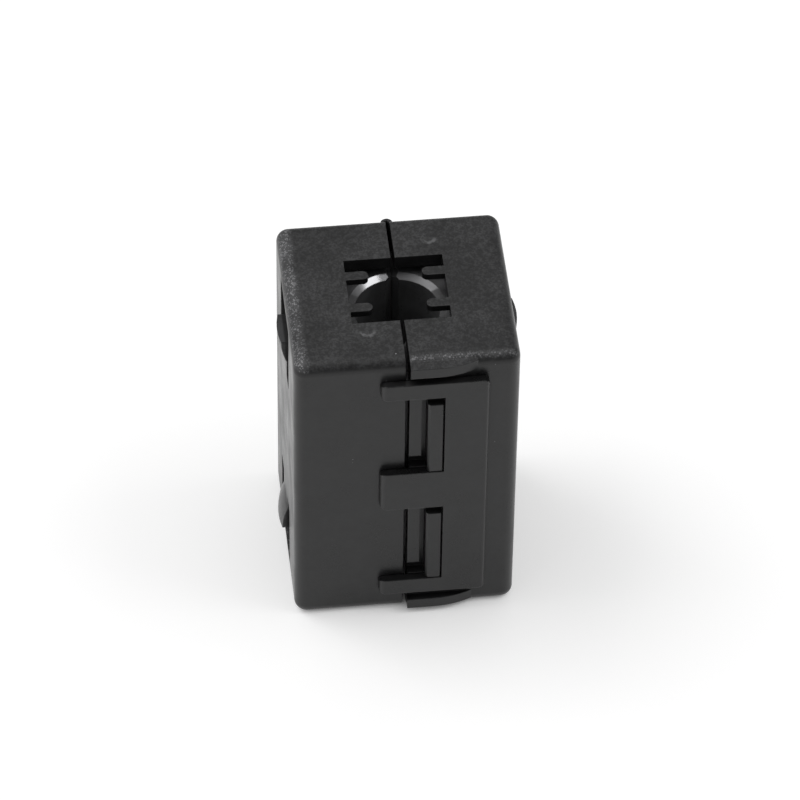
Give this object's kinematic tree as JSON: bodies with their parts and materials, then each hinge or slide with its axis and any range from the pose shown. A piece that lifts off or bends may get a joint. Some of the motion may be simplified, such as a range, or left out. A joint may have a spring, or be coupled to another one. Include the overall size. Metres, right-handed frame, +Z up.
{
  "type": "clip-on ferrite bead",
  "caption": "Split ferrite core in a hinged black plastic case that snaps shut round a cable to damp high-frequency noise.",
  "frame": {"origin": "on the bore's axis, at the end face that the part stands on", "axes": "+Z up along the bore, +Y towards the hinge, -Y towards the latch, +X towards the half that carries the catches"},
  "size_m": [0.0196, 0.0176, 0.03],
  "materials": {
    "case_plastic": "fine spark-eroded texture, black",
    "ferrite": "sintered, dark grey, ground mating faces"
  },
  "bodies": {
    "left_half": {"left_case": "case_plastic", "left_ferrite": "ferrite", "upper_hinge_strap": "case_plastic", "lower_hinge_strap": "case_plastic"},
    "right_half": {"right_case": "case_plastic", "right_ferrite": "ferrite"},
    "latch": {"latch_flap": "case_plastic"}
  },
  "joints": [
    {"name": "case_hinge", "type": "hinge", "parent": "left_half", "child": "right_half", "pos_m": [0, 0.00863, 0.015], "axis": [0, 0, 1], "range_deg": [0, 170], "deforming": ["upper_hinge_strap", "lower_hinge_strap", "latch_flap"]},
    {"name": "latch_flex", "type": "hinge", "parent": "left_half", "child": "latch", "pos_m": [-0.00226, -0.0083, 0.0153], "axis": [0, 0, -1], "range_deg": [0, 15], "stiffness_Nm_per_rad": 0.2}
  ]
}
